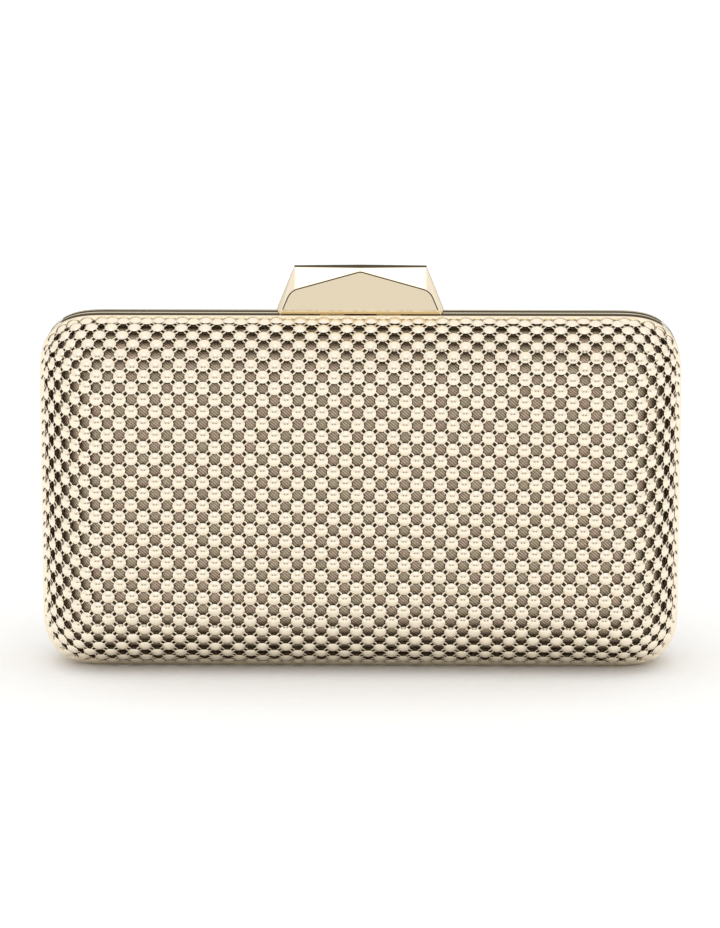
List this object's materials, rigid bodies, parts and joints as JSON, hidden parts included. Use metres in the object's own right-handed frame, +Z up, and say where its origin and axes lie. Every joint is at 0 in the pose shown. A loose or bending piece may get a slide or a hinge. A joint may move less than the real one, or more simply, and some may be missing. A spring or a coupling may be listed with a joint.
{
  "type": "evening bag",
  "caption": "Hard box clutch in two cushion-shaped halves covered in bead mesh, hinged along the bottom rail and closed by a faceted clasp block on top.",
  "frame": {"origin": "on the table, under the middle of the closed bag", "axes": "+X along the width to the viewer's right, -Y towards the front face, +Z up"},
  "size_m": [0.19, 0.0496, 0.1199],
  "materials": {
    "polished_gold": "mirror polished, light gold plated zinc alloy",
    "ball_mesh": "polished light gold domed beads linked by wire rings",
    "satin": "taupe gold satin twill",
    "shell_board": "moulded hard shell, unfinished",
    "lining": "champagne satin lining",
    "hinge_brass": "plated brass",
    "plated_steel": "gold plated steel"
  },
  "bodies": {
    "rear_half": {"rear_frame": "polished_gold", "rear_shell": "shell_board", "rear_satin_cover": "satin", "rear_ball_mesh": "ball_mesh", "rear_lining": "lining", "slip_pocket": "lining", "hinge_leaf_rear_left": "hinge_brass", "hinge_leaf_rear_right": "hinge_brass", "hinge_pin_left": "plated_steel", "hinge_pin_right": "plated_steel", "hinge_screw_rear_left_inner": "plated_steel", "hinge_screw_rear_left_outer": "plated_steel", "hinge_screw_rear_right_inner": "plated_steel", "hinge_screw_rear_right_outer": "plated_steel", "clasp_bracket": "hinge_brass", "bracket_screw_left": "plated_steel", "bracket_screw_right": "plated_steel", "clasp_pivot_pin": "plated_steel", "clasp_spring": "plated_steel"},
    "front_half": {"front_frame": "polished_gold", "front_shell": "shell_board", "front_satin_cover": "satin", "front_ball_mesh": "ball_mesh", "front_lining": "lining", "hinge_leaf_front_left": "hinge_brass", "hinge_leaf_front_right": "hinge_brass", "hinge_screw_front_left_inner": "plated_steel", "hinge_screw_front_left_outer": "plated_steel", "hinge_screw_front_right_inner": "plated_steel", "hinge_screw_front_right_outer": "plated_steel"},
    "clasp_lever": {"clasp_block": "polished_gold", "latch_plate": "plated_steel", "latch_screw_left": "plated_steel", "latch_screw_right": "plated_steel"}
  },
  "joints": [
    {"name": "front_open", "type": "hinge", "parent": "rear_half", "child": "front_half", "pos_m": [0, 0, 0.0019], "axis": [1, 0, 0], "range_deg": [0, 70]},
    {"name": "clasp_tilt", "type": "hinge", "parent": "rear_half", "child": "clasp_lever", "pos_m": [0, 0.0032, 0.1083], "axis": [-1, 0, 0], "range_deg": [0, 28], "stiffness_Nm_per_rad": 0.02, "springref_deg": -22.92, "deforming": ["clasp_spring"]}
  ]
}
